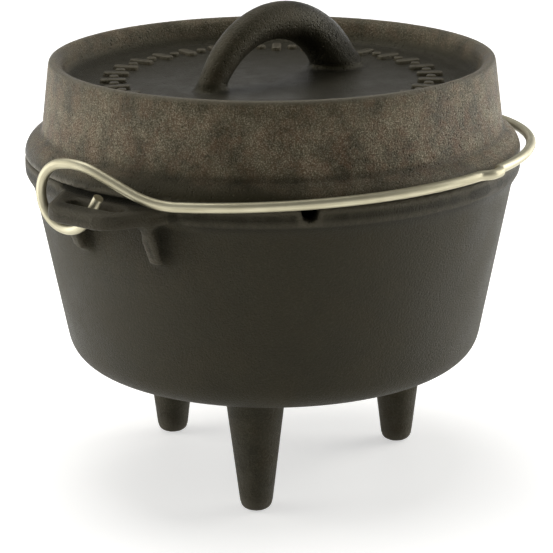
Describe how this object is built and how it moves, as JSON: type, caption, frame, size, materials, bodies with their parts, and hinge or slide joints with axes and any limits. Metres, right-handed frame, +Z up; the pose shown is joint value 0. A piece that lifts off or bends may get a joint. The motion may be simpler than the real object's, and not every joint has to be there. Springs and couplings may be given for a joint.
{
  "type": "camp dutch oven",
  "caption": "Round cast-iron pot on short legs, with a deep lid that has a tray for embers and a bow handle, and a wire bail hooked through ears at the rim.",
  "frame": {"origin": "on the ground, on the pot's axis, midway between the feet", "axes": "+Z up along the pot's axis, +X through the ears, and the bail lies forward on the -Y side"},
  "size_m": [0.2086, 0.1817, 0.1684],
  "materials": {
    "pot_iron": "matte seasoned",
    "lid_iron": "matte seasoned",
    "bail_wire": "drawn satin"
  },
  "bodies": {
    "pot": {"pot": "pot_iron"},
    "lid": {"lid": "lid_iron"},
    "bail": {"bail": "bail_wire"}
  },
  "joints": [
    {"name": "bail_swing", "type": "hinge", "parent": "pot", "child": "bail", "pos_m": [0, 0.0128, 0.1166], "axis": [-1, 0, 0], "range_deg": [0, 180]},
    {"name": "lid_lift", "type": "slide", "parent": "pot", "child": "lid", "axis": [0, 0, 1], "range_m": [0, 0.1]}
  ]
}
